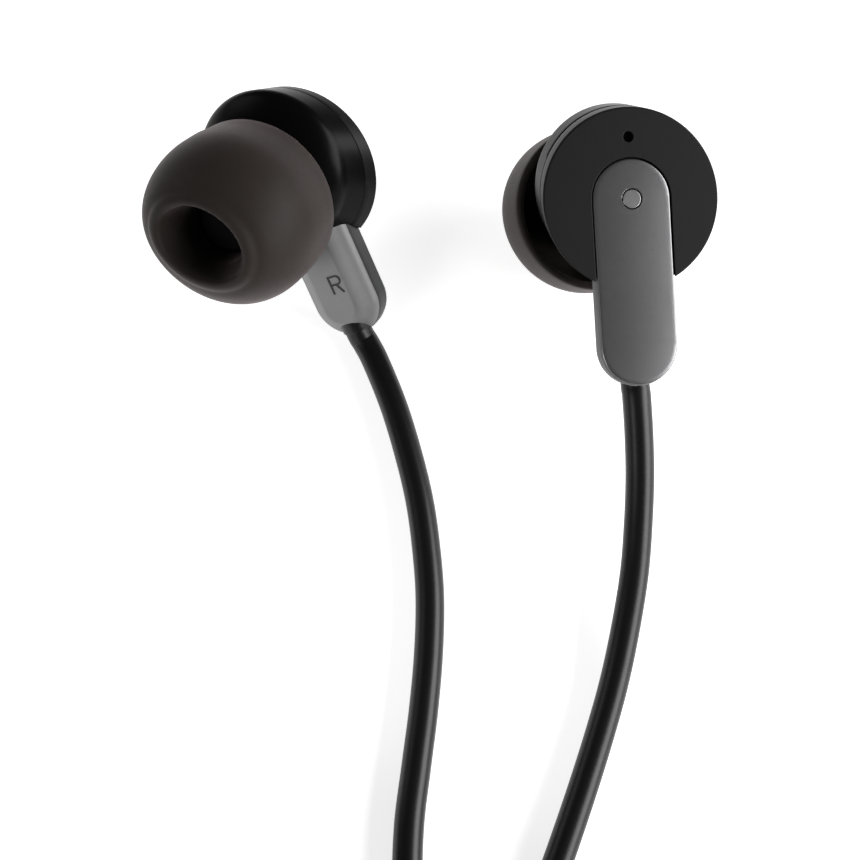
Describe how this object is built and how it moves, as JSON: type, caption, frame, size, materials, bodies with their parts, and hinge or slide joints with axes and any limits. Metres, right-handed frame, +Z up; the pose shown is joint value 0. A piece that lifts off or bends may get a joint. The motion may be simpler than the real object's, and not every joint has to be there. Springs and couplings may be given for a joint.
{
  "type": "wired earphones",
  "caption": "In-ear wired earphones: round housings on flat stems, soft tips on short nozzles, a coiled cord with a button control pod and a small jack plug.",
  "frame": {"origin": "on the surface it lies on, under the middle of the two earpieces", "axes": "+Z up from the surface, +X from the right earpiece to the left one, +Y from the cords to the earpieces"},
  "size_m": [0.0493, 0.1339, 0.0193],
  "materials": {
    "shell_matte": "fine satin black",
    "shell_gloss": "polished black",
    "stem_metal": "fine satin, anodised dark grey",
    "stem_grey": "satin grey",
    "steel": "satin",
    "mark": "printed",
    "gold": "bright plated",
    "circuit_board": "solder mask",
    "magnet": "nickel plated",
    "copper": "enamelled wire",
    "diaphragm": "thin film",
    "mesh": "woven",
    "silicone": "translucent satin",
    "cord_black": "satin",
    "switch": "moulded",
    "button": "satin",
    "insulator": "moulded",
    "tie": "woven band"
  },
  "bodies": {
    "earphones": {"left_outer_shell": "shell_matte", "left_inner_shell": "shell_gloss", "left_stem_plate": "stem_metal", "left_stem_cover": "stem_grey", "left_plate_cap": "stem_metal", "left_plate_screw": "steel", "left_side_mark": "mark", "left_microphone": "mesh", "left_board": "circuit_board", "left_driver_basket": "steel", "left_driver_magnet": "magnet", "left_voice_coil": "copper", "left_diaphragm": "diaphragm", "left_nozzle_mesh": "mesh", "left_cord_grommet": "cord_black", "right_outer_shell": "shell_matte", "right_inner_shell": "shell_gloss", "right_stem_plate": "stem_metal", "right_stem_cover": "stem_grey", "right_plate_cap": "stem_metal", "right_plate_screw": "steel", "right_side_mark": "mark", "right_microphone": "mesh", "right_board": "circuit_board", "right_driver_basket": "steel", "right_driver_magnet": "magnet", "right_voice_coil": "copper", "right_diaphragm": "diaphragm", "right_nozzle_mesh": "mesh", "right_cord_grommet": "cord_black", "pod_lower_shell": "shell_matte", "pod_upper_shell": "shell_matte", "pod_board": "circuit_board", "pod_switches": "switch", "pod_microphone": "mesh", "pod_inlet_grommet": "cord_black", "pod_outlet_grommet": "cord_black", "plug_relief": "cord_black", "plug_body": "shell_matte", "plug_sleeve": "gold", "plug_second_ring": "gold", "plug_first_ring": "gold", "plug_tip": "gold", "plug_insulators": "insulator", "left_cord": "cord_black", "right_cord": "cord_black", "main_cord": "cord_black", "ear_cord_coil": "cord_black", "main_cord_coil": "cord_black", "cord_tie": "tie"},
    "left_tip": {"left_ear_tip": "silicone"},
    "right_tip": {"right_ear_tip": "silicone"},
    "volume_up": {"volume_up_button": "button"},
    "play": {"play_button": "button"},
    "volume_down": {"volume_down_button": "button"}
  },
  "joints": [
    {"name": "left_tip_pull", "type": "slide", "parent": "earphones", "child": "left_tip", "axis": [-0.1592, 0.3987, -0.9031], "range_m": [0, 0.0035]},
    {"name": "right_tip_pull", "type": "slide", "parent": "earphones", "child": "right_tip", "axis": [-0.3473, -0.7193, 0.6016], "range_m": [0, 0.0035]},
    {"name": "volume_up_press", "type": "slide", "parent": "earphones", "child": "volume_up", "axis": [0, 0, -1], "range_m": [0, 0.00025], "stiffness_N_per_m": 2000, "springref_m": -0.0003},
    {"name": "play_press", "type": "slide", "parent": "earphones", "child": "play", "axis": [0, 0, -1], "range_m": [0, 0.00025], "stiffness_N_per_m": 2000, "springref_m": -0.0003},
    {"name": "volume_down_press", "type": "slide", "parent": "earphones", "child": "volume_down", "axis": [0, 0, -1], "range_m": [0, 0.00025], "stiffness_N_per_m": 2000, "springref_m": -0.0003}
  ]
}
